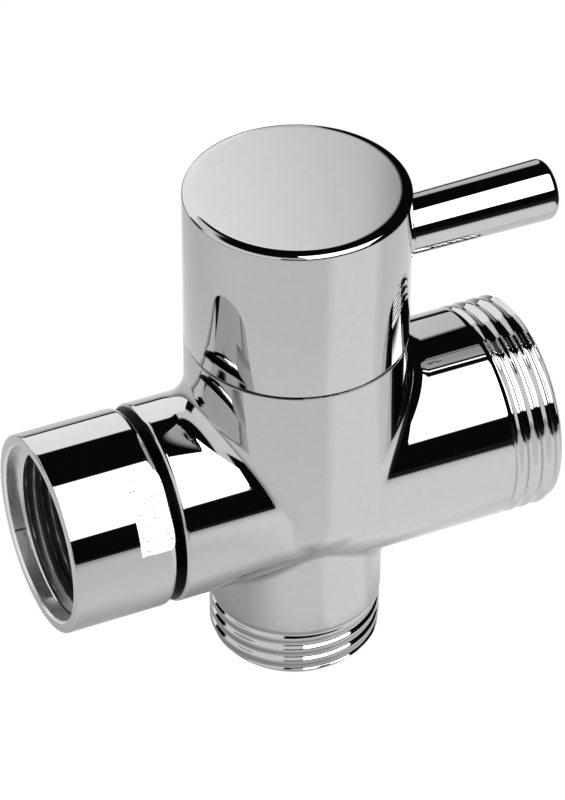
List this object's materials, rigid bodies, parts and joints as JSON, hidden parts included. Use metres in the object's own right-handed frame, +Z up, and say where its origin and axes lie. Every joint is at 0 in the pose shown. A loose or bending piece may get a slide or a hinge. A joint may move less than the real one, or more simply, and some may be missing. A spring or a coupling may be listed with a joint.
{
  "type": "three way diverter valve",
  "caption": "Chromed three way diverter valve: swivel inlet nut, threaded run outlet, threaded branch below, and a round cap with a side lever.",
  "frame": {"origin": "the centre of the branch's end face, which is the bottom centre of the box", "axes": "+X along the run towards the run outlet, +Z up along the spindle, -Y the front"},
  "size_m": [0.0651, 0.0262, 0.0652],
  "materials": {
    "chrome": "mirror polished chrome plate on brass",
    "raw_brass": "turned, unplated",
    "stainless": "bright stainless",
    "seal_rubber": "moulded black rubber",
    "ceramic": "lapped white alumina",
    "acetal": "moulded, natural white"
  },
  "bodies": {
    "valve": {"valve_body": "chrome", "nut_retaining_ring": "stainless", "inlet_washer": "seal_rubber", "inlet_strainer": "stainless", "port_seal": "seal_rubber", "fixed_disc": "ceramic", "cartridge_housing": "acetal", "housing_o_ring": "seal_rubber", "gland_nut": "raw_brass"},
    "handle": {"rotating_disc": "ceramic", "spindle": "raw_brass", "spindle_o_rings": "seal_rubber", "thrust_washer": "acetal", "spindle_clip": "stainless", "spline_adapter": "acetal", "adapter_screw": "stainless", "handle_cap": "chrome", "lever": "chrome", "lever_stud": "stainless"},
    "inlet_nut": {"swivel_nut": "chrome"}
  },
  "joints": [
    {"name": "handle_turn", "type": "hinge", "parent": "valve", "child": "handle", "pos_m": [0, 0, 0.0557], "axis": [0, 0, 1], "range_deg": [-180, 0]},
    {"name": "nut_swivel", "type": "hinge", "parent": "valve", "child": "inlet_nut", "pos_m": [-0.026, 0, 0.0255], "axis": [1, 0, 0], "continuous": true}
  ]
}
